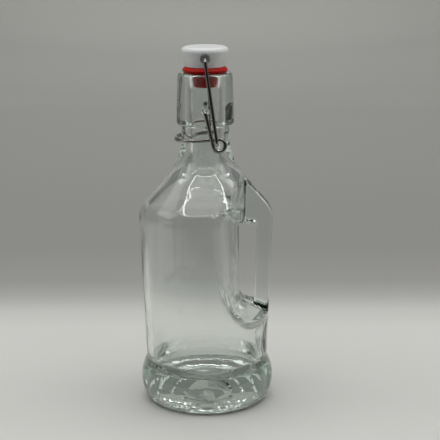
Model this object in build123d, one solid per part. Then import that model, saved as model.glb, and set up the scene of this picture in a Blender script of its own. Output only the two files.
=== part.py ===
"""A small glass growler: a one-piece handled bottle with a wire swing-top stopper.

Millimetres, +Z up, origin at the centre of the circle the bottle stands on.
+X points to the handle, and the closure's hinge axes run along Y.
"""

from build123d import *
from math import asin, atan2, degrees, radians, tan
import os

# ---- bottle, outside --------------------------------------------------------------
STAND_R = 34.0  # outer radius of the flat ring the bottle stands on
STAND_INNER_R = 22.0  # inner radius of that ring
UNDER_MID_R = 37.4  # a point on the curve that turns under to the ring
UNDER_MID_Z = 1.9
FOOT_R = 41.0  # widest part of the bulging foot
FOOT_WIDEST_Z = 14.0
FOOT_LOW_R = 39.0  # where the bulge turns under
FOOT_LOW_Z = 5.0
WAIST_R = 37.6  # narrow waist just above the foot
WAIST_Z = 28.0
FOOT_TOP_R = 39.2  # top of the bulge, just under the waist
FOOT_TOP_Z = 23.5
SHOULDER_R = 41.3  # the body widens upwards to this radius
SHOULDER_Z = 121.2  # height where body and shoulder cone would meet sharply
SHOULDER_ROUND = 16.0
WAIST_ROUND = 5.0
CONE_ANGLE = 48.7  # fall of the shoulder cone below the horizontal
NECK_R = 14.6
NECK_ROUND = 38.0  # sweep from the neck into the shoulder
COLLAR_Z = 173.0  # underside of the thick collar
COLLAR_R = 17.4
COLLAR_BULGE_Z = 182.0  # height down to which the collar keeps its full radius
LIP_R = 16.5
LIP_Z = 204.4
LIP_ROUND = 1.5
COLLAR_ROUND = 2.0
COLLAR_UNDER_ROUND = 0.8
COLLAR_EASE = 20.0  # gentle turn where the collar starts to narrow
PUNT_RISE = 6.5  # hollow under the base
PUNT_TOP_R = 14.0
PUNT_TOP_Z = 5.2
PUNT_RIM_R = 20.0
PUNT_RIM_Z = 0.6
PUNT_ROUND = 5.0
PUNT_RIM_ROUND = 1.5

# ---- bottle, inside ---------------------------------------------------------------
WALL = 3.3  # body and shoulder
FLOOR_Z = 15.5
FLOOR_FLAT_R = 12.0
FLOOR_EDGE_R = 33.6  # the dished floor rises to this radius
FLOOR_EDGE_Z = 21.0
FLOOR_ROUND = 30.0
FLOOR_CORNER = 2.5
BORE_R = 8.0
MOUTH_R = 8.9
MOUTH_DEPTH = 8.0
INNER_NECK_Z = 148.5  # height where bore and inner cone would meet sharply
INNER_CONE_ANGLE = 42.5
INNER_NECK_ROUND = 24.0
INNER_SHOULDER_ROUND = 12.0

# ---- handle, carved out of the round body -----------------------------------------
SIDE_X = 20.4  # container wall behind the fingers
SIDE_R = 75.0  # that wall's own curvature in plan
TOP_STEP = 3.0  # the wall stands this much further out above the finger scoops
SCOOP_EDGE_X = 10.0  # front and rear end of a scoop, on the round body
SCOOP_TOP_Z = 125.5  # height of the scoop's roof at that end
SCOOP_TOP_ANGLE = 42.0  # that roof falls towards the handle
SCOOP_CUT_Z = 150.0  # the scoops run out through the shoulder below this height
SCOOP_LOW_Z = 82.0  # height of the scoop's floor at that end
SCOOP_LOW_ANGLE = 70.0  # steep fall of the scoop's floor beside the container
HANDLE_WIDTH = 15.0  # along Y
GRIP_THICK = 9.6  # radial thickness of the grip bar
HOLE_START_X = 15.0  # the hole is drawn from inside the container's wall
HOLE_TOP_Z = 112.8
HOLE_LOW_Z = 64.5  # floor of the finger hole beside the container
LEDGE_ANGLE = 22.0  # that floor falls outwards
LEDGE_SIDE_FALL = 0.30  # and, in front of and behind the web, sideways
HOLE_ROUND = 2.5
GRIP_ROUND = 1.5
SCOOP_ROUND = 3.0
SCOOP_WALL = 2.7  # glass behind the finger scoops
ROOF_WALL = 4.0  # glass under their floor
BULGE_X = 54.0  # centre of a swelling on the inside, below the handle
BULGE_Z = 40.0
BULGE_R = 24.0

# ---- closure ----------------------------------------------------------------------
PIVOT_Z = 183.2
LEVER_WIRE_R = 1.2
YOKE_WIRE_R = 1.05
RUNNING = 0.05  # radial clearance of a wire in its hole
DIMPLE_DEPTH = 3.0
DIMPLE_MOUTH = 1.2  # chamfer round each dimple
PEG_TIP_Y = 14.9
LEVER_Y = 18.95  # plane of the lever's two legs
ARM_Y = 16.5  # plane of the arms that run round the neck
LOOP_X = 8.3
LOOP_Z = 163.0
LOOP_R = 3.6
LOOP_BOTTOM_R = 3.5
LEG_TOP_X = 0.0
LOOP_START_SHIFT = 0.15  # how far the coil has already moved inwards where it starts
THUMB_X = -17.8  # thumb end of the lever, round the far side of the neck
THUMB_DROP = 2.0  # the thumb end sits this much lower than the arms
THUMB_ROUND = 15.5
THUMB_PINCH = 0.2  # the arms run in this much towards the thumb end
PEG_BEND = 1.9
HOOK_X = 7.1
HOOK_Z = 164.0
HOOK_Y = 23.0
HOOK_TIP_Y = 15.4
HOOK_BEND = 1.6
CROSS_X = 0.2
CROSS_Z = 213.9
YOKE_TOP_Y = 19.2
YOKE_BEND = 2.2

CAP_R = 14.35
CAP_TOP_Z = 220.1
CAP_WIDE_Z = 217.0
CAP_LOW_R = 12.1
CAP_LOW_Z = 208.4
CAP_ROUND = 2.9
RECESS_R = 3.0
RECESS_DEPTH = 2.6
STEM_R = 4.0
STEM_LOW_Z = 198.0
KNOB_R = 5.2
KNOB_TALL = 2.0
CAP_SIDE_R = 13.5  # radius of the cap at the cross hole
CAP_SIDE_EASE = 4.0

FLANGE_R = 13.9
FLANGE_TOP_R = 11.8
FLANGE_WIDE_Z = 206.3
FLANGE_LOW_R = 12.7
PLUG_TOP_R = 8.3
PLUG_LOW_R = 7.2
PLUG_LOW_Z = 195.9
PLUG_ROUND = 1.6
FLANGE_ROUND = 0.8
FLANGE_LOW_ROUND = 0.4

TALL = 600.0  # longer than anything it cuts
PAST = 1.0  # how far a cutter passes the surface it cuts
EDGE_FINDER = 1.5  # how near an edge must lie to the plain outside to be on it


def revolved(pieces):
    """Turn a closed outline, drawn as X = radius and Y = height, about the Z axis."""
    edges = [edge for piece in pieces for edge in piece.edges()]
    return revolve(Plane.XZ * make_face(Wire(edges)), Axis.Z)


def upright(x, radius):
    """A tall upright cylinder."""
    return Pos(x, 0, 0) * Cylinder(radius, TALL)


def bottle_outside():
    """The bottle as a plain body of revolution, before the handle is carved."""
    neck_meet_z = SHOULDER_Z + (SHOULDER_R - NECK_R) * tan(radians(CONE_ANGLE))
    side = FilletPolyline(
        (FOOT_TOP_R, FOOT_TOP_Z),
        (WAIST_R, WAIST_Z),
        (SHOULDER_R, SHOULDER_Z),
        (NECK_R, neck_meet_z),
        (NECK_R, COLLAR_Z),
        (COLLAR_R, COLLAR_Z),
        (COLLAR_R, COLLAR_BULGE_Z),
        (LIP_R, LIP_Z),
        (0, LIP_Z),
        radius=[
            WAIST_ROUND,
            SHOULDER_ROUND,
            NECK_ROUND,
            COLLAR_UNDER_ROUND,
            COLLAR_ROUND,
            COLLAR_EASE,
            LIP_ROUND,
        ],
    )
    axis = Line((0, LIP_Z), (0, PUNT_RISE))
    punt = FilletPolyline(
        (0, PUNT_RISE),
        (PUNT_TOP_R, PUNT_TOP_Z),
        (PUNT_RIM_R, PUNT_RIM_Z),
        (STAND_INNER_R, 0),
        (STAND_R, 0),
        radius=[PUNT_ROUND, PUNT_RIM_ROUND, PUNT_RIM_ROUND],
    )
    turn_under = ThreePointArc((STAND_R, 0), (UNDER_MID_R, UNDER_MID_Z), (FOOT_LOW_R, FOOT_LOW_Z))
    bulge = ThreePointArc((FOOT_LOW_R, FOOT_LOW_Z), (FOOT_R, FOOT_WIDEST_Z), (FOOT_TOP_R, FOOT_TOP_Z))
    return revolved([side, axis, punt, turn_under, bulge])


def bottle_inside():
    """The round air space, before the handle takes its share of it."""
    inner_r = SHOULDER_R - WALL
    inner_shoulder_z = INNER_NECK_Z - (inner_r - BORE_R) * tan(radians(INNER_CONE_ANGLE))
    outline = FilletPolyline(
        (0, FLOOR_Z),
        (FLOOR_FLAT_R, FLOOR_Z),
        (FLOOR_EDGE_R, FLOOR_EDGE_Z),
        (inner_r, inner_shoulder_z),
        (BORE_R, INNER_NECK_Z),
        (BORE_R, LIP_Z - MOUTH_DEPTH),
        radius=[FLOOR_ROUND, FLOOR_CORNER, INNER_SHOULDER_ROUND, INNER_NECK_ROUND],
    )
    rest = Polyline(
        (BORE_R, LIP_Z - MOUTH_DEPTH),
        (MOUTH_R, LIP_Z),
        (MOUTH_R, LIP_Z + PAST),
        (0, LIP_Z + PAST),
        (0, FLOOR_Z),
    )
    return revolved([outline, rest])


def above(x, y, z, fall_x, fall_y, raised=0):
    """Everything above a plane through (x, y, z) that falls that much per mm of X and Y."""
    plane = Plane(origin=(x, y, z), z_dir=(fall_x, fall_y, 1))
    return plane * Pos(0, 0, TALL / 2 + raised) * Box(TALL, TALL, TALL)


def scoop_space(side, raised=0):
    """The space over the floor of one finger scoop, side -1 for the front one."""
    half = side * HANDLE_WIDTH / 2
    wide = above(SIDE_X, half, HOLE_LOW_Z, tan(radians(LEDGE_ANGLE)), side * LEDGE_SIDE_FALL, raised)
    steep = above(SCOOP_EDGE_X, half, SCOOP_LOW_Z, tan(radians(SCOOP_LOW_ANGLE)), 0, raised)
    return wide & steep


def beside_fingers(inset=0):
    """The part of the bottle that holds the drink beside the fingers."""
    return upright(SIDE_X - SIDE_R, SIDE_R - inset)


def over_scoops(inset=0):
    """The fuller part of the bottle above the roof of the scoops."""
    step = upright(SIDE_X - SIDE_R, SIDE_R + TOP_STEP - inset)
    return step & above(SCOOP_EDGE_X, 0, SCOOP_TOP_Z, tan(radians(SCOOP_TOP_ANGLE)), 0, inset)


def outer_radius(z):
    """Radius of the leaning body or of the shoulder cone, whichever is the smaller."""
    lean = (SHOULDER_R - WAIST_R) / (SHOULDER_Z - WAIST_Z)
    cone = SHOULDER_R - (z - SHOULDER_Z) / tan(radians(CONE_ANGLE))
    return min(WAIST_R + (z - WAIST_Z) * lean, cone)


def on_outside(edge):
    """True for a sharp edge that the carving left on the round outside."""
    middle = edge @ 0.5
    if edge.geom_type in (GeomType.CIRCLE, GeomType.LINE) or middle.X < 0:
        return False
    return abs(Vector(middle.X, middle.Y, 0).length - outer_radius(middle.Z)) < EDGE_FINDER


def inside_corner(edge):
    """True for an edge of a scoop cutter that ends up inside the glass."""
    middle = edge @ 0.5
    return middle.X < SHOULDER_R and abs(middle.Y) < SHOULDER_R and middle.Z < SCOOP_CUT_Z - PAST


def scoop(side):
    """One finger scoop, in front of or behind the web that carries the grip."""
    reach = SHOULDER_R + PAST
    far = side * (HANDLE_WIDTH + reach) / 2
    block = Pos(reach / 2, far, SCOOP_CUT_Z / 2) * Box(reach, reach, SCOOP_CUT_Z)
    cut = (block & scoop_space(side)) - beside_fingers()
    return fillet(cut.edges().filter_by(inside_corner), SCOOP_ROUND)


def finger_hole():
    """The hole between the container and the grip bar."""
    fall = tan(radians(LEDGE_ANGLE))
    low_x = outer_radius(HOLE_LOW_Z) - GRIP_THICK
    outline = Polyline(
        (HOLE_START_X, HOLE_LOW_Z + (SIDE_X - HOLE_START_X) * fall),
        (low_x, HOLE_LOW_Z - (low_x - SIDE_X) * fall),
        (outer_radius(HOLE_TOP_Z) - GRIP_THICK, HOLE_TOP_Z),
        (HOLE_START_X, HOLE_TOP_Z),
        close=True,
    )
    hole = extrude(Plane.XZ * make_face(outline), HANDLE_WIDTH, both=True)
    hole = fillet(hole.edges().filter_by(Axis.Y).group_by(Axis.X)[-1], HOLE_ROUND)
    return hole - beside_fingers() - over_scoops()


def cavity():
    """The air space: flat-sided beside the handle, fuller again above and below it."""
    swelling = Pos(BULGE_X, 0, BULGE_Z) * Sphere(BULGE_R)
    under_front = scoop_space(-1, -ROOF_WALL)
    under_rear = scoop_space(1, -ROOF_WALL)
    solid_glass = under_front + under_rear + swelling
    return bottle_inside() - (solid_glass - beside_fingers(SCOOP_WALL) - over_scoops(SCOOP_WALL))


def dimple(side):
    """One blind hole in the collar for a lever peg, with a dished mouth."""
    hole_r = LEVER_WIRE_R + RUNNING
    depth = DIMPLE_DEPTH + PAST
    flare = DIMPLE_MOUTH + PAST
    into_collar = Pos(0, side * (COLLAR_R + PAST), PIVOT_Z) * Rot(90 * side, 0, 0)
    hole = Pos(0, 0, depth / 2) * Cylinder(hole_r, depth)
    mouth = Pos(0, 0, flare / 2) * Cone(hole_r + flare, hole_r, flare)
    return into_collar * (hole + mouth)


def make_bottle():
    """The one-piece glass bottle with its handle."""
    plain = bottle_outside()
    glass = plain - scoop(-1) - scoop(1)
    glass = fillet(glass.edges().filter_by(on_outside), GRIP_ROUND)
    glass = glass + (plain & over_scoops())
    glass = glass - finger_hole() - cavity()
    for side in (-1, 1):
        glass = glass - dimple(side)
    return glass


def bent_wire(half, bends, wire_r):
    """A round wire along a route given for -Y and mirrored to +Y."""
    other = [(x, -y, z) for x, y, z in reversed(half)]
    path = FilletPolyline(*half, *other, radius=bends + bends[::-1])
    section = Plane(origin=path @ 0, z_dir=path % 0) * Circle(wire_r)
    return sweep(section, path=path)


def make_lever():
    """Lower wire: pegs in the collar, a coil each side, and a thumb end round the neck."""
    reach = Vector(LOOP_X - LEG_TOP_X, LOOP_Z - PIVOT_Z, 0)
    lean = degrees(atan2(reach.X, -reach.Y)) - degrees(asin(LOOP_R / reach.length))
    low_z = LOOP_Z - LOOP_R
    leg_x = LEG_TOP_X + (PIVOT_Z - low_z) * tan(radians(lean))
    right_x = LOOP_X + LOOP_R
    shift = (LEVER_Y - ARM_Y) / 2
    half = [
        (LEG_TOP_X, -PEG_TIP_Y, PIVOT_Z),
        (LEG_TOP_X, -LEVER_Y, PIVOT_Z),
        (leg_x, -LEVER_Y + LOOP_START_SHIFT, low_z),
        (right_x, -LEVER_Y + shift, low_z),
        (right_x, -ARM_Y, LOOP_Z + LOOP_R),
        (THUMB_X, -ARM_Y + THUMB_PINCH, LOOP_Z + LOOP_R - THUMB_DROP),
    ]
    bends = [PEG_BEND, LOOP_R, LOOP_BOTTOM_R, LOOP_R, THUMB_ROUND]
    return bent_wire(half, bends, LEVER_WIRE_R)


def make_yoke():
    """Upper wire: hooked into the lever's coils and threaded through the stopper."""
    half = [
        (HOOK_X, -HOOK_TIP_Y, HOOK_Z),
        (HOOK_X, -HOOK_Y, HOOK_Z),
        (CROSS_X, -YOKE_TOP_Y, CROSS_Z),
    ]
    return bent_wire(half, [HOOK_BEND, YOKE_BEND], YOKE_WIRE_R)


def make_cap():
    """The stopper's hard cap, with its cross hole and the stem the gasket grips."""
    dome = FilletPolyline(
        (CAP_LOW_R, CAP_LOW_Z),
        (CAP_R, CAP_WIDE_Z),
        (CAP_R, CAP_TOP_Z),
        (0, CAP_TOP_Z),
        radius=[CAP_SIDE_EASE, CAP_ROUND],
    )
    stem = Polyline(
        (0, CAP_TOP_Z),
        (0, STEM_LOW_Z),
        (KNOB_R, STEM_LOW_Z),
        (KNOB_R, STEM_LOW_Z + KNOB_TALL),
        (STEM_R, STEM_LOW_Z + KNOB_TALL),
        (STEM_R, CAP_LOW_Z),
        (CAP_LOW_R, CAP_LOW_Z),
    )
    cap = revolved([dome, stem])
    across = Pos(CROSS_X, 0, CROSS_Z) * Rot(90, 0, 0)
    cap = cap - across * Cylinder(YOKE_WIRE_R + RUNNING, TALL)
    start_y = CAP_SIDE_R - RECESS_DEPTH
    length = CAP_R + PAST - start_y
    for side in (-1, 1):
        cap = cap - Pos(0, side * (start_y + length / 2), 0) * across * Cylinder(RECESS_R, length)
    return cap


def make_gasket():
    """The red rubber: a lens-shaped flange on the lip and a plug in the mouth."""
    plug = FilletPolyline(
        (PLUG_TOP_R, LIP_Z), (PLUG_LOW_R, PLUG_LOW_Z), (0, PLUG_LOW_Z), radius=PLUG_ROUND
    )
    inside = Polyline(
        (0, PLUG_LOW_Z),
        (0, STEM_LOW_Z),
        (KNOB_R, STEM_LOW_Z),
        (KNOB_R, STEM_LOW_Z + KNOB_TALL),
        (STEM_R, STEM_LOW_Z + KNOB_TALL),
        (STEM_R, CAP_LOW_Z),
        (FLANGE_TOP_R, CAP_LOW_Z),
    )
    flange = FilletPolyline(
        (FLANGE_TOP_R, CAP_LOW_Z),
        (FLANGE_R, FLANGE_WIDE_Z),
        (FLANGE_LOW_R, LIP_Z),
        (PLUG_TOP_R, LIP_Z),
        radius=[FLANGE_ROUND, FLANGE_LOW_ROUND],
    )
    return revolved([plug, inside, flange])


os.makedirs("parts", exist_ok=True)
PARTS = {
    "bottle": make_bottle,
    "lever_wire": make_lever,
    "yoke_wire": make_yoke,
    "stopper_cap": make_cap,
    "stopper_gasket": make_gasket,
}
for name, make in PARTS.items():
    export_step(make(), f"parts/{name}.step")
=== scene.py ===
import math

import bpy
import numpy as np
from mathutils import Matrix, Vector


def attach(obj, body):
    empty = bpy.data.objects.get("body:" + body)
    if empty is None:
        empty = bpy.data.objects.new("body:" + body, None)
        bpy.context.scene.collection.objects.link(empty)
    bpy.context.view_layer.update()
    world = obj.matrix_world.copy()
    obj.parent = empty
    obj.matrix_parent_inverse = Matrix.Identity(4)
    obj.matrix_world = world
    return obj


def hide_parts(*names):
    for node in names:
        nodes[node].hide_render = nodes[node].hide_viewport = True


# A swing-top growler on a pale table. Metres, but the glass is worked out in millimetres.

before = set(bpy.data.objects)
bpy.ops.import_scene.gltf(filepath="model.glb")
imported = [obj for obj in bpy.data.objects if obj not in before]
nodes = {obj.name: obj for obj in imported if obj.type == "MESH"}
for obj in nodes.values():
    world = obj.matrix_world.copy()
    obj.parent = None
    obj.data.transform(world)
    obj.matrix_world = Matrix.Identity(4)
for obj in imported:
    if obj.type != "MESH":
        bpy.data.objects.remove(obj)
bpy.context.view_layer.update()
MM = 0.001

# ---- camera: the picture's viewing angle --------------------------------------------
CAMERA_DISTANCE = 0.830
CAMERA_HEIGHT = 0.311
CAMERA_PITCH = 13.4
CAMERA_ROLL = -0.26
CAMERA_LENS = 113.4
CAMERA_SENSOR = 36.0
CAMERA_ASIDE = 0.0086  # to the right, so that the bottle stands a little left of the middle


def make_camera():
    """A long lens looking slightly down at the bottle, turned by a hair."""
    data = bpy.data.cameras.new("camera")
    data.lens = CAMERA_LENS
    data.sensor_width = CAMERA_SENSOR
    data.clip_start = 0.01
    camera = bpy.data.objects.new("camera", data)
    bpy.context.scene.collection.objects.link(camera)
    turn = Matrix.Rotation(math.radians(90 - CAMERA_PITCH), 4, "X")
    roll = Matrix.Rotation(math.radians(CAMERA_ROLL), 4, "Z")
    place = Matrix.Translation((CAMERA_ASIDE, -CAMERA_DISTANCE, CAMERA_HEIGHT))
    camera.matrix_world = place @ turn @ roll
    bpy.context.scene.camera = camera


# ---- node helpers -------------------------------------------------------------------
def new_material(name):
    """A material with an empty node tree, its output and a Principled shader."""
    material = bpy.data.materials.new(name)
    material.use_nodes = True
    tree = material.node_tree
    tree.nodes.clear()
    output = tree.nodes.new("ShaderNodeOutputMaterial")
    shader = tree.nodes.new("ShaderNodeBsdfPrincipled")
    tree.links.new(shader.outputs["BSDF"], output.inputs["Surface"])
    return material, tree, shader, output


def add_node(tree, kind, **settings):
    """Add a node; settings that name an input set its default, the rest its properties."""
    node = tree.nodes.new(kind)
    for key, value in settings.items():
        if key in node.inputs:
            node.inputs[key].default_value = value
        else:
            setattr(node, key, value)
    return node


def set_inputs(node, values):
    """Set the constant values of a node's inputs."""
    for name, value in values.items():
        node.inputs[name].default_value = value


def split_coords(tree, space):
    """The X, Y and Z outputs of one of the texture coordinates."""
    coords = add_node(tree, "ShaderNodeTexCoord")
    split = add_node(tree, "ShaderNodeSeparateXYZ")
    tree.links.new(coords.outputs[space], split.inputs["Vector"])
    return split.outputs


def noise(tree, scale, detail=2.0):
    """Object-space noise."""
    coords = add_node(tree, "ShaderNodeTexCoord")
    texture = add_node(tree, "ShaderNodeTexNoise", Scale=scale, Detail=detail)
    tree.links.new(coords.outputs["Object"], texture.inputs["Vector"])
    return texture.outputs["Fac"]


NOISE_LOW = 0.3  # most of a noise's values lie between these two
NOISE_HIGH = 0.7


def ramp(tree, source, low, high):
    """A colour that goes from low to high over the range of a noise."""
    node = add_node(tree, "ShaderNodeValToRGB")
    first, last = node.color_ramp.elements
    first.position, last.position = NOISE_LOW, NOISE_HIGH
    first.color, last.color = (*low, 1), (*high, 1)
    tree.links.new(source, node.inputs["Fac"])
    return node.outputs["Color"]


def spread(tree, source, low, high):
    """A value that goes from low to high over the range of a noise."""
    node = add_node(tree, "ShaderNodeMapRange")
    set_inputs(node, {"From Min": NOISE_LOW, "From Max": NOISE_HIGH, "To Min": low, "To Max": high})
    tree.links.new(source, node.inputs["Value"])
    return node.outputs["Result"]


def bump(tree, shader, height, distance, strength):
    """Bump the shader's normal by a height field."""
    node = add_node(tree, "ShaderNodeBump", Strength=strength, Distance=distance)
    tree.links.new(height, node.inputs["Height"])
    tree.links.new(node.outputs["Normal"], shader.inputs["Normal"])


# ---- materials: a pair of colours is what a material's unevenness runs between -------
GLASS_IOR = 1.52
GLASS_TINTS = (0.935, 0.952, 0.940), (0.970, 0.982, 0.973)
GLASS_GREEN = (0.55, 0.80, 0.66, 1)  # deepens with the thickness of the glass
GLASS_DENSITY = 6.0
CAP_WHITES = (0.86, 0.885, 0.875), (0.91, 0.935, 0.925)
RUBBER_REDS = (0.50, 0.004, 0.002), (0.60, 0.009, 0.005)
STEEL_GREYS = (0.25, 0.245, 0.24), (0.38, 0.375, 0.365)


def glass_material():
    """Flint glass with a faint green cast and the soft ripple of a moulded bottle."""
    material, tree, shader, output = new_material("bottle_glass")
    set_inputs(shader, {"Transmission Weight": 1.0, "IOR": GLASS_IOR, "Roughness": 0.0})
    tint = ramp(tree, noise(tree, 30.0), *GLASS_TINTS)
    tree.links.new(tint, shader.inputs["Base Color"])
    volume = add_node(tree, "ShaderNodeVolumeAbsorption", Color=GLASS_GREEN, Density=GLASS_DENSITY)
    tree.links.new(volume.outputs["Volume"], output.inputs["Volume"])
    bump(tree, shader, noise(tree, 55.0, 1.0), 0.0004, 0.5)
    return material


def cap_material():
    """Glossy white plastic with faint unevenness."""
    material, tree, shader, _ = new_material("cap_white")
    colour = ramp(tree, noise(tree, 180.0), *CAP_WHITES)
    tree.links.new(colour, shader.inputs["Base Color"])
    tree.links.new(spread(tree, noise(tree, 900.0), 0.16, 0.24), shader.inputs["Roughness"])
    set_inputs(shader, {"Subsurface Weight": 0.05, "Subsurface Radius": (0.002, 0.002, 0.002)})
    bump(tree, shader, noise(tree, 350.0), 0.0002, 0.25)
    return material


def rubber_material():
    """Red rubber, satin, slightly blotched."""
    material, tree, shader, _ = new_material("gasket_red")
    colour = ramp(tree, noise(tree, 260.0, 4.0), *RUBBER_REDS)
    tree.links.new(colour, shader.inputs["Base Color"])
    tree.links.new(spread(tree, noise(tree, 1200.0), 0.36, 0.5), shader.inputs["Roughness"])
    set_inputs(shader, {"Specular IOR Level": 0.2})
    bump(tree, shader, noise(tree, 2500.0, 3.0), 0.0001, 0.3)
    return material


def steel_material(name, scale):
    """Smooth, slightly dulled steel wire with faint scuffs."""
    material, tree, shader, _ = new_material(name)
    colour = ramp(tree, noise(tree, scale), *STEEL_GREYS)
    tree.links.new(colour, shader.inputs["Base Color"])
    set_inputs(shader, {"Metallic": 1.0})
    tree.links.new(spread(tree, noise(tree, scale * 3), 0.08, 0.20), shader.inputs["Roughness"])
    bump(tree, shader, noise(tree, scale * 6, 3.0), 0.00005, 0.3)
    return material


def add_mesh(name, verts, faces):
    """A smoothly shaded object made of vertices and faces."""
    mesh = bpy.data.meshes.new(name)
    mesh.from_pydata(verts, [], faces)
    mesh.shade_smooth()
    piece = bpy.data.objects.new(name, mesh)
    bpy.context.scene.collection.objects.link(piece)
    return piece


def dress(piece, material):
    """Give a piece one material in its first slot."""
    piece.data.materials.clear()
    piece.data.materials.append(material)


# ---- the glass: its shape as one smooth level surface, in millimetres ---------------
# A pair is (radius, height) on the bottle's half section.
STAND_R = 34.0  # outer radius of the flat ring the bottle stands on
STAND_INNER_R = 22.0  # inner radius of that ring
PUNT_RISE = 6.5  # hollow under the base
PUNT_TOP = (14.0, 5.2)
PUNT_RIM = (20.0, 0.6)
PUNT_ROUND = 5.0
PUNT_RIM_ROUND = 1.5
UNDER_MID = (37.4, 1.9)  # on the curve that turns under to the ring
FOOT_LOW = (39.0, 5.0)  # where the bulging foot turns under
FOOT_WIDEST = (41.0, 14.0)
FOOT_TOP = (39.2, 23.5)
WAIST = (37.6, 28.0)  # narrow waist just above the foot
WAIST_ROUND = 5.0
SHOULDER = (41.3, 121.2)  # where body and shoulder cone would meet sharply
SHOULDER_ROUND = 16.0
CONE_ANGLE = 48.7  # fall of the shoulder cone below the horizontal
NECK_R = 14.6
NECK_ROUND = 38.0  # sweep from the neck into the shoulder
COLLAR_Z = 173.0  # underside of the thick collar
COLLAR_R = 17.4
COLLAR_UNDER_ROUND = 0.8
COLLAR_ROUND = 2.0
COLLAR_BULGE_Z = 182.0  # height down to which the collar keeps its full radius
COLLAR_EASE = 20.0  # gentle turn where the collar starts to narrow
LIP_R = 16.5
LIP_Z = 204.4
LIP_ROUND = 1.5

WALL = 3.3  # body and shoulder
FLOOR_Z = 15.5
FLOOR_FLAT_R = 12.0
FLOOR_ROUND = 30.0
FLOOR_EDGE = (33.6, 21.0)  # the dished floor rises to here
FLOOR_CORNER = 2.5
INNER_SHOULDER_ROUND = 12.0
INNER_NECK_Z = 148.5  # where bore and inner cone would meet sharply
INNER_NECK_ROUND = 24.0
INNER_CONE_ANGLE = 42.5
BORE_R = 8.0
BORE_ROUND = 2.0
MOUTH_R = 8.9
MOUTH_DEPTH = 8.0
MOUTH_ROUND = 0.5
ABOVE_LIP = 5.0  # the air space is drawn on past the lip

SIDE_X = 20.4  # container wall behind the fingers
SIDE_R = 75.0  # that wall's own curvature in plan
TOP_STEP = 3.0  # the wall stands this much further out above the finger scoops
STEP_ROUND = 1.5
SCOOP_EDGE_X = 10.0  # front and rear end of a scoop, on the round body
SCOOP_TOP_Z = 125.5  # height of the scoop's roof at that end
SCOOP_TOP_SLOPE = 0.9  # that roof falls towards the handle
SCOOP_LOW_Z = 82.0  # height of the scoop's floor at that end
SCOOP_LOW_SLOPE = math.tan(math.radians(70.0))  # steep fall of that floor beside the container
SCOOP_LOW_ROUND = 6.0
SCOOP_ROUND = 3.0
HANDLE_WIDTH = 15.0  # along Y
GRIP_THICK = 9.6  # radial thickness of the grip bar
GRIP_ROUND = 1.3
WEB_ROOT_ROUND = 1.5
HOLE_TOP_Z = 112.8
HOLE_TOP_ROUND = 2.5
HOLE_LOW_Z = 64.5  # floor of the finger hole beside the container
HOLE_LOW_ROUND = 2.0
LEDGE_SLOPE = math.tan(math.radians(22.0))  # that floor falls outwards
LEDGE_SIDE_SLOPE = 0.30  # and, in front of and behind the web, sideways

RIM_ROUND = 1.5  # edges where the scoops run out on the round body
RIM_EASE = 3.5  # added to that round low down, away from the handle
EASE_FROM_Z = 88.0  # it starts below this height
EASE_DROP = 20.0  # and is full this much lower
EASE_FROM_X = 28.0  # and starts this far out
EASE_RUN = 12.0  # and is full this much further in

SCOOP_WALL = 2.7  # glass behind the finger scoops
BESIDE_ROUND = 4.0  # inner corners beside, over and below the scoops
OVER_ROUND = 2.0
ROOF_WALL = 4.0  # glass under the scoops' floor
BULGE_X = 54.0  # centre of a swelling on the inside, below the handle
BULGE_Z = 40.0
BULGE_R = 24.0
BULGE_ROUND = 4.0
BELOW_ROUND = 5.0
AIR_ROUND = 2.5
LIP_EDGE_ROUND = 0.6  # where the air space leaves through the lip

PIVOT_Z = 183.2  # the lever's pegs turn here, in a dimple on each side
PIVOT_HOLE_R = 1.25
DIMPLE_DEPTH = 3.0
DIMPLE_MOUTH = 1.2  # chamfer round each dimple
DIMPLE_ROUND = 0.4
DIMPLE_RIM_ROUND = 0.3

ARC_STEPS = 12
CORNER_STEPS = 10
TINY = 1e-12  # a length, squared, below which an outline's step is skipped


def arc(centre, radius, start, end, steps):
    """Points on an arc, from one angle to another."""
    turn = np.linspace(start, end, steps + 1)
    return [(centre[0] + radius * math.cos(t), centre[1] + radius * math.sin(t)) for t in turn]


def half_turn(angle):
    """The same angle between -pi and pi."""
    return (angle + math.pi) % (2 * math.pi) - math.pi


def rounded(corners, radii):
    """An open outline whose inner corners are rounded, as a list of points."""
    points = [corners[0]]
    for before, here, after, radius in zip(corners, corners[1:], corners[2:], radii):
        if radius == 0:
            points.append(here)
            continue
        corner = np.array(here, float)
        back, on = np.array(before, float) - corner, np.array(after, float) - corner
        back, on = back / np.linalg.norm(back), on / np.linalg.norm(on)
        half = math.acos(float(np.clip(back @ on, -1, 1))) / 2
        middle = corner + (back + on) / np.linalg.norm(back + on) * radius / math.sin(half)
        first = corner + back * radius / math.tan(half) - middle
        last = corner + on * radius / math.tan(half) - middle
        start = math.atan2(first[1], first[0])
        sweep = half_turn(math.atan2(last[1], last[0]) - start)
        points += arc(middle, radius, start, start + sweep, CORNER_STEPS)
    points.append(corners[-1])
    return points


def through(first, middle, last):
    """Points on the circle arc through three points."""
    (ax, ay), (bx, by), (cx, cy) = first, middle, last
    d = 2 * (ax * (by - cy) + bx * (cy - ay) + cx * (ay - by))
    a2, b2, c2 = ax * ax + ay * ay, bx * bx + by * by, cx * cx + cy * cy
    ux = (a2 * (by - cy) + b2 * (cy - ay) + c2 * (ay - by)) / d
    uy = (a2 * (cx - bx) + b2 * (ax - cx) + c2 * (bx - ax)) / d
    start = math.atan2(ay - uy, ax - ux)
    sweep = half_turn(math.atan2(cy - uy, cx - ux) - start)
    return arc((ux, uy), math.hypot(ax - ux, ay - uy), start, start + sweep, ARC_STEPS)


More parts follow.
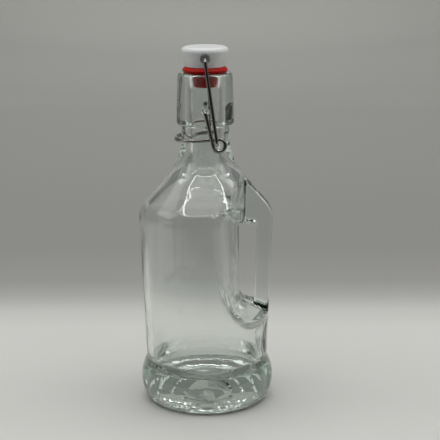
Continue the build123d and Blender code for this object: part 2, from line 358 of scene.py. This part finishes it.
def outside_outline():
    """Half section of the bottle before the handle is carved, from punt to lip."""
    neck_meet = SHOULDER[1] + (SHOULDER[0] - NECK_R) * math.tan(math.radians(CONE_ANGLE))
    punt = rounded(
        [(0, PUNT_RISE), PUNT_TOP, PUNT_RIM, (STAND_INNER_R, 0), (STAND_R, 0)],
        [PUNT_ROUND, PUNT_RIM_ROUND, PUNT_RIM_ROUND],
    )
    under = through((STAND_R, 0), UNDER_MID, FOOT_LOW)
    bulge = through(FOOT_LOW, FOOT_WIDEST, FOOT_TOP)
    side = rounded(
        [FOOT_TOP, WAIST, SHOULDER, (NECK_R, neck_meet), (NECK_R, COLLAR_Z),
         (COLLAR_R, COLLAR_Z), (COLLAR_R, COLLAR_BULGE_Z), (LIP_R, LIP_Z), (0, LIP_Z)],
        [WAIST_ROUND, SHOULDER_ROUND, NECK_ROUND, COLLAR_UNDER_ROUND, COLLAR_ROUND, COLLAR_EASE, LIP_ROUND],
    )
    return punt + under + bulge + side


def inside_outline():
    """Half section of the round air space, from the floor's centre to above the lip."""
    inner_r = SHOULDER[0] - WALL
    inner_shoulder_z = INNER_NECK_Z - (inner_r - BORE_R) * math.tan(math.radians(INNER_CONE_ANGLE))
    top = LIP_Z + ABOVE_LIP
    return rounded(
        [(0, FLOOR_Z), (FLOOR_FLAT_R, FLOOR_Z), FLOOR_EDGE, (inner_r, inner_shoulder_z),
         (BORE_R, INNER_NECK_Z), (BORE_R, LIP_Z - MOUTH_DEPTH), (MOUTH_R, LIP_Z), (MOUTH_R, top),
         (0, top)],
        [FLOOR_ROUND, FLOOR_CORNER, INNER_SHOULDER_ROUND, INNER_NECK_ROUND, BORE_ROUND, MOUTH_ROUND, 0],
    )


def cubic_weights(t):
    """Weights of the four values around a point that lies t past the second of them."""
    return (
        ((-0.5 * t + 1.0) * t - 0.5) * t,
        (1.5 * t - 2.5) * t * t + 1.0,
        ((-1.5 * t + 2.0) * t + 0.5) * t,
        (0.5 * t - 0.5) * t * t,
    )


class Section:
    """Signed distance to a revolved outline, looked up in a fine (radius, height) table."""

    STEP = 0.25
    REACH = 48.0
    LOW = -6.0
    TOP = LIP_Z + 12.0
    PAD = 2  # rows before the axis and after the reach, for the interpolation
    EDGE = 1.001  # it reads one row before a place and two after it

    def __init__(self, outline):
        points = np.array(outline)
        rows = int(self.REACH / self.STEP) + 2 * self.PAD
        columns = int((self.TOP - self.LOW) / self.STEP) + 2 * self.PAD
        r = (np.arange(rows) - self.PAD) * self.STEP
        z = self.LOW + np.arange(columns) * self.STEP
        grid_r, grid_z = np.meshgrid(np.abs(r), z, indexing="ij")
        best = np.full(grid_r.shape, np.inf)
        within = np.zeros(grid_r.shape, bool)
        for (ar, az), (br, bz) in zip(points, points[1:]):
            dr, dz = br - ar, bz - az
            length = dr * dr + dz * dz
            if length < TINY:
                continue
            along = np.clip(((grid_r - ar) * dr + (grid_z - az) * dz) / length, 0, 1)
            best = np.minimum(best, (grid_r - ar - along * dr) ** 2 + (grid_z - az - along * dz) ** 2)
            crosses = (az > grid_z) != (bz > grid_z)
            where = ar + dr * (grid_z - az) / (dz if dz else 1.0)
            within ^= crosses & (grid_r < where)
        self.table = np.sqrt(best) * np.where(within, -1, 1)

    def __call__(self, r, z):
        """Cubic interpolation in the table, kept inside its edges."""
        rows, columns = self.table.shape
        fr = np.clip(r / self.STEP + self.PAD, self.EDGE, rows - 2 - self.EDGE)
        fz = np.clip((z - self.LOW) / self.STEP, self.EDGE, columns - 2 - self.EDGE)
        ir, iz = fr.astype(int), fz.astype(int)
        total = 0.0
        for i, weight_r in enumerate(cubic_weights(fr - ir)):
            for j, weight_z in enumerate(cubic_weights(fz - iz)):
                total = total + weight_r * weight_z * self.table[ir + i - 1, iz + j - 1]
        return total


def both(a, b, radius):
    """Intersection of two shapes, its edge rounded."""
    return np.minimum(np.maximum(a, b), -radius) + np.hypot(
        np.maximum(a + radius, 0), np.maximum(b + radius, 0)
    )


def either(a, b, radius):
    """Union of two shapes, its inside corner rounded."""
    return -both(-a, -b, radius)


outside = Section(outside_outline())
inside = Section(inside_outline())


def body_radius(z):
    """Radius of the leaning body wall at a height."""
    return WAIST[0] + (z - WAIST[1]) * (SHOULDER[0] - WAIST[0]) / (SHOULDER[1] - WAIST[1])


def above(x, y, z, low_z, slope, side_slope):
    """Distance above a plane through (SIDE_X, web face, low_z) that falls outwards and sideways."""
    height = z - low_z + (x - SIDE_X) * slope + (np.abs(y) - HANDLE_WIDTH / 2) * side_slope
    return height / math.sqrt(1 + slope ** 2 + side_slope ** 2)


def ledge(x, y, z):
    """Distance above the finger scoops' floor, which steepens beside the container."""
    far = above(x, y, z, HOLE_LOW_Z, LEDGE_SLOPE, LEDGE_SIDE_SLOPE)
    near_z = SCOOP_LOW_Z - (SIDE_X - SCOOP_EDGE_X) * SCOOP_LOW_SLOPE
    near = above(x, y, z, near_z, SCOOP_LOW_SLOPE, 0.0)
    return either(far, near, SCOOP_LOW_ROUND)


def container_side(x, y):
    """Distance outside the container's curved wall beside the handle."""
    return np.hypot(x - (SIDE_X - SIDE_R), y) - SIDE_R


def scoop_roof(x, z):
    """Distance below the finger scoops' sloping roof."""
    below = SCOOP_TOP_Z - z - (x - SCOOP_EDGE_X) * SCOOP_TOP_SLOPE
    return below / math.hypot(1, SCOOP_TOP_SLOPE)


def carved_outside(x, y, z):
    """The round body with the finger scoops and the finger hole carved out of it."""
    side = container_side(x, y)
    container = either(side, both(scoop_roof(x, z), side - TOP_STEP, STEP_ROUND), STEP_ROUND)
    hole_floor = above(x, y, z, HOLE_LOW_Z, LEDGE_SLOPE, 0.0)
    grip_face = x - (body_radius(z) - GRIP_THICK)
    hole = both(both(grip_face, z - HOLE_TOP_Z, HOLE_TOP_ROUND), -hole_floor, HOLE_LOW_ROUND)
    web = both(np.abs(y) - HANDLE_WIDTH / 2, -hole, GRIP_ROUND)
    kept = either(either(container, ledge(x, y, z), SCOOP_ROUND), web, WEB_ROOT_ROUND)
    ease = np.clip((EASE_FROM_Z - z) / EASE_DROP, 0, 1) * np.clip((EASE_FROM_X - x) / EASE_RUN, 0, 1)
    return both(outside(np.hypot(x, y), z), kept, RIM_ROUND + RIM_EASE * ease)


def air_space(x, y, z):
    """The round hollow, which beside and below the finger scoops keeps clear of them."""
    side = container_side(x, y)
    over = both(scoop_roof(x, z) + WALL, side - TOP_STEP + WALL, OVER_ROUND)
    beside = either(side + SCOOP_WALL, over, BESIDE_ROUND)
    bulge = BULGE_R - np.sqrt((x - BULGE_X) ** 2 + y ** 2 + (z - BULGE_Z) ** 2)
    below = both(ledge(x, y, z) + ROOF_WALL, bulge, BULGE_ROUND)
    return both(inside(np.hypot(x, y), z), either(beside, below, BELOW_ROUND), AIR_ROUND)


def dimples(x, y, z):
    """The two blind holes, wider at the mouth, in which the lever's pegs turn."""
    hole = np.hypot(x, z - PIVOT_Z) - PIVOT_HOLE_R
    mouth = (hole - DIMPLE_MOUTH - (np.abs(y) - COLLAR_R)) * math.sqrt(0.5)
    deep = np.abs(y) - (COLLAR_R - DIMPLE_DEPTH)
    return both(either(hole, mouth, DIMPLE_ROUND), -deep, DIMPLE_ROUND)


def glass(x, y, z):
    """Negative inside the glass, positive in air; close to a distance near the surface."""
    bottle = both(carved_outside(x, y, z), -air_space(x, y, z), LIP_EDGE_ROUND)
    return both(bottle, -dimples(x, y, z), DIMPLE_RIM_ROUND)


# ---- the glass: its mesh ------------------------------------------------------------
# Grid lines in millimetres: a first place, then (end, spacing) pairs, finer at small corners.
GRID_X = (-41.6, (-19, 1.2), (-13.2, 0.9), (-3.2, 0.9), (3.2, 0.4), (13.2, 0.9), (19, 0.9), (41.6, 1.2))
GRID_Y = (-41.6, (-18.4, 1.2), (-13.2, 0.45), (13.2, 1.0), (18.4, 0.45), (41.6, 1.2))
GRID_Z = (-0.3, (7.5, 0.5), (31, 0.9), (56, 1.3), (78, 1.0), (108, 1.3), (130, 1.0), (165, 1.3),
          (172, 1.0), (175, 0.6), (179.5, 0.9), (187, 0.45), (200, 1.0), (205.6, 0.6))
SLOPE_REACH = 0.04  # half the length over which a slope is measured
NEWTON_STEPS = 4
LONGEST_MOVE = 0.5  # in one of those steps
LEAST_STEEPNESS = 0.2  # smallest squared slope that a step divides by
NEARLY_ZERO = 1e-9


def grid_lines(stops):
    """Grid lines from the first number through the (end, spacing) pairs."""
    lines = [stops[0]]
    for end, spacing in stops[1:]:
        count = max(1, round((end - lines[-1]) / spacing))
        lines += list(np.linspace(lines[-1], end, count + 1)[1:])
    return np.array(lines)


def cell_vertices(grid, value):
    """One point for each cell that the surface crosses, and each cell's point number, or -1."""
    solid = value < 0
    cells = tuple(n - 1 for n in value.shape)
    total = np.zeros(cells + (3,))
    count = np.zeros(cells)
    for axis in range(3):
        for start in np.ndindex(2, 2, 2):
            if start[axis]:
                continue
            end = tuple(1 if k == axis else start[k] for k in range(3))
            at_start = tuple(slice(s, s + n) for s, n in zip(start, cells))
            at_end = tuple(slice(e, e + n) for e, n in zip(end, cells))
            a, b = value[at_start], value[at_end]
            cut = solid[at_start] != solid[at_end]
            share = np.where(cut, a / np.where(cut, a - b, 1), 0)
            for k in range(3):
                low, high = grid[k][at_start], grid[k][at_end]
                total[..., k] += np.where(cut, low + share * (high - low), 0)
            count += cut
    used = count > 0
    index = np.full(cells, -1)
    index[used] = np.arange(int(used.sum()))
    return total[used] / count[used][:, None], index


def cell_quads(solid, index):
    """A quad round each inner grid edge that the surface cuts, joining its four cells."""
    quads = []
    for axis in range(3):
        u, v = (axis + 1) % 3, (axis + 2) % 3
        low = [slice(1, -1)] * 3
        high = [slice(1, -1)] * 3
        low[axis], high[axis] = slice(0, -1), slice(1, None)
        a, b = solid[tuple(low)], solid[tuple(high)]
        for leaving, edges in ((True, a & ~b), (False, ~a & b)):
            where = np.argwhere(edges)
            where[:, [u, v]] += 1
            ring = []
            for du, dv in ((-1, -1), (0, -1), (0, 0), (-1, 0)):
                cell = where.copy()
                cell[:, u] += du
                cell[:, v] += dv
                ring.append(index[tuple(cell.T)])
            quads.append(np.stack(ring if leaving else ring[::-1], axis=1))
    return np.concatenate(quads)


def surface_net(shape, xs, ys, zs):
    """Vertices and quads of a level surface: one vertex in each cell that it crosses."""
    grid = np.meshgrid(xs, ys, zs, indexing="ij")
    value = shape(*grid)
    value = np.where(value == 0, NEARLY_ZERO, value)
    verts, index = cell_vertices(grid, value)
    return verts, cell_quads(value < 0, index)


def slope_of(shape, points):
    """Gradient of a level function."""
    columns = []
    for k in range(3):
        shift = np.zeros(3)
        shift[k] = SLOPE_REACH
        ahead, behind = points + shift, points - shift
        columns.append((shape(*ahead.T) - shape(*behind.T)) / (2 * SLOPE_REACH))
    return np.stack(columns, axis=1)


def settle(shape, points):
    """Move points onto the level surface in a few short Newton steps."""
    for _ in range(NEWTON_STEPS):
        slope = slope_of(shape, points)
        steepness = np.maximum((slope ** 2).sum(axis=1), LEAST_STEEPNESS)
        move = -shape(*points.T)[:, None] * slope / steepness[:, None]
        size = np.linalg.norm(move, axis=1)[:, None]
        points = points + move * np.minimum(1, LONGEST_MOVE / np.maximum(size, NEARLY_ZERO))
    return points


def make_bottle():
    """The whole one-piece bottle, meshed from its level surface and shaded smoothly."""
    verts, quads = surface_net(glass, grid_lines(GRID_X), grid_lines(GRID_Y), grid_lines(GRID_Z))
    verts = settle(glass, verts)
    piece = add_mesh("glass_bottle", (verts * MM).tolist(), quads.tolist())
    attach(piece, "bottle")
    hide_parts("bottle")
    dress(piece, glass_material())


# ---- set ----------------------------------------------------------------------------
SET_R = 1.35  # the round wall stands outside every viewpoint
SET_TOP = 0.50
SWEEP_R = 0.15  # curve between table and wall
SWEEP_STEPS = 12
TABLE_RINGS = (0.05, 0.2, 0.5, 0.85)
SET_SIDES = 96
GAP = 0.00015  # the table lies a hair under the glass
PAINTED_SHADE_START = -0.40  # painted light and shade: the paint changes with depth plus height, from here
PAINTED_SHADE_END = 1.60  # to here
# (position, grey) pairs between those two: painted light and shade, near black in front as a painted dark
# room, pale by the bottle, darker behind it, and lighter again up the far wall where the lamps' light is
# weak
PAINTED_SHADE_GREYS = ((0.0, 0.06), (0.14, 0.74), (0.27, 0.74), (0.29, 0.655), (0.31, 0.475), (0.33, 0.38),
          (0.38, 0.348), (0.44, 0.357), (0.59, 0.42), (0.83, 0.50), (0.89, 0.585), (0.94, 0.80))
PAINTED_SHADE_BLUE = 0.955  # blue in each grey, against red and green


def set_painted_shading():
    """Matt paint in greys that follow depth plus height: painted light and shade on the table and wall."""
    material, tree, shader, _ = new_material("set_painted_shading")
    place = split_coords(tree, "Object")
    total = add_node(tree, "ShaderNodeMath", operation="ADD")
    tree.links.new(place["Y"], total.inputs[0])
    tree.links.new(place["Z"], total.inputs[1])
    blend = add_node(tree, "ShaderNodeMapRange")
    set_inputs(blend, {"From Min": PAINTED_SHADE_START, "From Max": PAINTED_SHADE_END})
    tree.links.new(total.outputs["Value"], blend.inputs["Value"])
    # painted light and shade: this grey ramp stands in for the lamps' falloff and for a dark room in front
    painted_shades = add_node(tree, "ShaderNodeValToRGB")
    for position, _ in PAINTED_SHADE_GREYS[2:]:
        painted_shades.color_ramp.elements.new(position)
    for element, (position, grey) in zip(painted_shades.color_ramp.elements, PAINTED_SHADE_GREYS):
        element.position = position
        element.color = (grey, grey, grey * PAINTED_SHADE_BLUE, 1)
    tree.links.new(blend.outputs["Result"], painted_shades.inputs["Fac"])
    tree.links.new(painted_shades.outputs["Color"], shader.inputs["Base Color"])
    set_inputs(shader, {"Roughness": 0.9, "Specular IOR Level": 0.1})
    return material


def make_set():
    """A table that sweeps up into a low round wall, with painted light and shade: pale near the bottle and
    darker beyond.
    """
    flat_r = SET_R - SWEEP_R
    path = [(r, 0.0) for r in TABLE_RINGS]
    for step in range(SWEEP_STEPS + 1):
        angle = math.radians(step * 90 / SWEEP_STEPS)
        path.append((flat_r + SWEEP_R * math.sin(angle), SWEEP_R * (1 - math.cos(angle))))
    path.append((SET_R, SET_TOP))
    verts = [(0.0, 0.0, -GAP)]
    for r, z in path:
        for k in range(SET_SIDES):
            angle = 2 * math.pi * k / SET_SIDES
            verts.append((r * math.cos(angle), r * math.sin(angle), z - GAP))
    faces = [(0, 1 + k, 1 + (k + 1) % SET_SIDES) for k in range(SET_SIDES)]
    for row in range(len(path) - 1):
        first = 1 + row * SET_SIDES
        for k in range(SET_SIDES):
            here, there = first + k, first + (k + 1) % SET_SIDES
            faces.append((here, here + SET_SIDES, there + SET_SIDES, there))
    piece = add_mesh("set", verts, faces)
    dress(piece, set_painted_shading())


# ---- light --------------------------------------------------------------------------
PANEL = (0.0, -0.25, 1.15)  # centre of the overhead panel
PANEL_WIDTH = 1.1
PANEL_DEPTH = 0.80
PANEL_POWER = 3.0
RIM = 0.035  # width of the bright strips round the panel
RIM_SIDE_POWER = 1.25
RIM_END_POWER = 1.5
BOX = (0.85, 0.0, 0.80)  # a soft box on each side
BOX_AIM = (0, 0.1, 0.05)
BOX_SIZE = (0.7, 0.5)
BOX_POWER = 1.3
FAR = (0.0, 1.0, 1.35)  # lights the far table and wall
FAR_AIM = (0, 1.25, 0)
FAR_SIZE = (1.5, 0.5)
FAR_POWER = 5.6
ROOM_COLOUR = (0.98, 1.0, 0.97, 1)
# from front to back, over the world's direction along Y
ROOM_STRENGTH = {"From Min": -0.75, "From Max": 0.25, "To Min": 0.012, "To Max": 0.19}


def area_light(name, place, target, width, height, power):
    """A soft box of the given size aimed at a point."""
    data = bpy.data.lights.new(name, "AREA")
    data.shape = "RECTANGLE"
    data.size = width
    data.size_y = height
    data.energy = power
    light = bpy.data.objects.new(name, data)
    bpy.context.scene.collection.objects.link(light)
    aim = Vector(target) - Vector(place)
    light.rotation_euler = aim.to_track_quat("-Z", "Y").to_euler()
    light.location = place


def make_lights():
    """Soft studio light: an overhead panel with brighter edges, side boxes and a far light."""
    x, y, z = PANEL
    area_light("overhead", PANEL, (x, y, 0), PANEL_WIDTH, PANEL_DEPTH, PANEL_POWER)
    for side in (-1, 1):
        side_x = x + side * (PANEL_WIDTH + RIM) / 2
        area_light("rim_side", (side_x, y, z), (side_x, y, 0), RIM, PANEL_DEPTH, RIM_SIDE_POWER)
        end_y = y + side * (PANEL_DEPTH + RIM) / 2
        area_light("rim_end", (x, end_y, z), (x, end_y, 0), PANEL_WIDTH, RIM, RIM_END_POWER)
        area_light("side_box", (side * BOX[0], BOX[1], BOX[2]), BOX_AIM, *BOX_SIZE, BOX_POWER)
    area_light("far", FAR, FAR_AIM, *FAR_SIZE, FAR_POWER)


def make_room():
    """A faint world light, nearly dark in front of the bottle."""
    world = bpy.data.worlds.new("room")
    bpy.context.scene.world = world
    world.use_nodes = True
    tree = world.node_tree
    strength = add_node(tree, "ShaderNodeMapRange", interpolation_type="SMOOTHSTEP")
    set_inputs(strength, ROOM_STRENGTH)
    tree.links.new(split_coords(tree, "Generated")["Y"], strength.inputs["Value"])
    background = tree.nodes["Background"]
    set_inputs(background, {"Color": ROOM_COLOUR})
    tree.links.new(strength.outputs["Result"], background.inputs["Strength"])


# ---- build --------------------------------------------------------------------------
make_camera()
make_set()
make_lights()
make_room()
make_bottle()
dress(nodes["stopper_cap"], cap_material())
dress(nodes["stopper_gasket"], rubber_material())
dress(nodes["lever_wire"], steel_material("lever_steel", 700.0))
dress(nodes["yoke_wire"], steel_material("yoke_steel", 800.0))

scene = bpy.context.scene
scene.view_settings.view_transform = "Standard"
scene.cycles.max_bounces = 32
scene.cycles.transmission_bounces = 32
scene.cycles.glossy_bounces = 12
scene.cycles.transparent_max_bounces = 16
